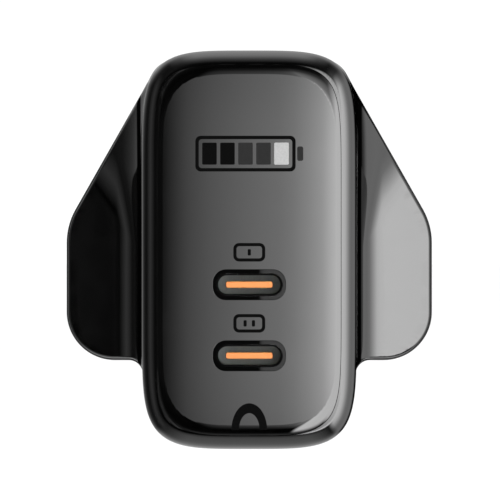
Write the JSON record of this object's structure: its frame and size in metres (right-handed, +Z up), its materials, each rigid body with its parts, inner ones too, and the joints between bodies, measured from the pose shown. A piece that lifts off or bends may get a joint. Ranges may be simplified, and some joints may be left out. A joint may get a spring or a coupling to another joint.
{
  "type": "usb wall charger",
  "caption": "Glossy upright wall charger with fixed British three-pin plug wings behind it and stacked USB-C ports in its front panel.",
  "frame": {"origin": "on the flat rear face that meets the wall socket, midway between the live and neutral pins", "axes": "+Y points out of the rear face along the pins, into the socket; +Z is up, towards the earth pin; +X is to the right for someone facing the ports, which is the live pin's side"},
  "size_m": [0.05, 0.0687, 0.0538],
  "materials": {
    "gloss_black_plastic": "glossy, mirror-smooth moulding",
    "satin_black_plastic": "fine satin moulding texture",
    "nickel_plated_brass": "bright nickel plating",
    "brown_insulation": "extruded insulation",
    "blue_insulation": "extruded insulation",
    "circuit_board": "solder mask on glass laminate",
    "stainless_shell": "drawn, bright",
    "orange_insulator": "fine moulded",
    "grey_insulator": "fine moulded",
    "ferrite": "pressed, matt",
    "winding_tape": "polyester tape, slightly glossy",
    "capacitor_sleeve": "shrunk-on sleeve",
    "enamelled_wire": "enamelled copper, glossy",
    "box_yellow": "moulded box",
    "blue_lacquer": "dipped lacquer",
    "chip_plastic": "matt epoxy",
    "capacitor_can": "drawn can",
    "aluminium_sheet": "rolled sheet",
    "silicone_pad": "soft, matt",
    "insulation_film": "polyimide film"
  },
  "bodies": {
    "root": {"housing": "gloss_black_plastic", "front_panel": "gloss_black_plastic", "rear_cover": "satin_black_plastic", "live_pin": "nickel_plated_brass", "neutral_pin": "nickel_plated_brass", "live_pin_sleeve": "satin_black_plastic", "neutral_pin_sleeve": "satin_black_plastic", "earth_pin": "satin_black_plastic", "live_wire": "brown_insulation", "neutral_wire": "blue_insulation", "main_board": "circuit_board", "port_board": "circuit_board", "usb_shell_1": "stainless_shell", "usb_shell_2": "stainless_shell", "usb_tongue_1": "orange_insulator", "usb_tongue_2": "orange_insulator", "usb_collar_1": "grey_insulator", "usb_collar_2": "grey_insulator", "transformer_bobbin": "satin_black_plastic", "transformer_core_lower": "ferrite", "transformer_core_upper": "ferrite", "transformer_winding": "winding_tape", "bulk_capacitor_1": "capacitor_sleeve", "bulk_capacitor_2": "capacitor_sleeve", "bulk_capacitor_3": "capacitor_sleeve", "choke_base": "satin_black_plastic", "choke_core": "ferrite", "choke_winding_1": "enamelled_wire", "choke_winding_2": "enamelled_wire", "x_capacitor": "box_yellow", "varistor": "blue_lacquer", "y_capacitor": "blue_lacquer", "fuse": "chip_plastic", "bridge_rectifier": "chip_plastic", "optocoupler": "chip_plastic", "filter_inductor_core": "ferrite", "filter_inductor_winding": "enamelled_wire", "primary_switch": "chip_plastic", "pwm_controller": "chip_plastic", "sync_rectifier": "chip_plastic", "output_capacitor_1": "capacitor_can", "output_capacitor_2": "capacitor_can", "port_controller_1": "chip_plastic", "port_controller_2": "chip_plastic", "port_inductor_1": "ferrite", "port_inductor_2": "ferrite", "heat_spreader": "aluminium_sheet", "thermal_pad": "silicone_pad", "insulation_sheet": "insulation_film"}
  },
  "joints": []
}
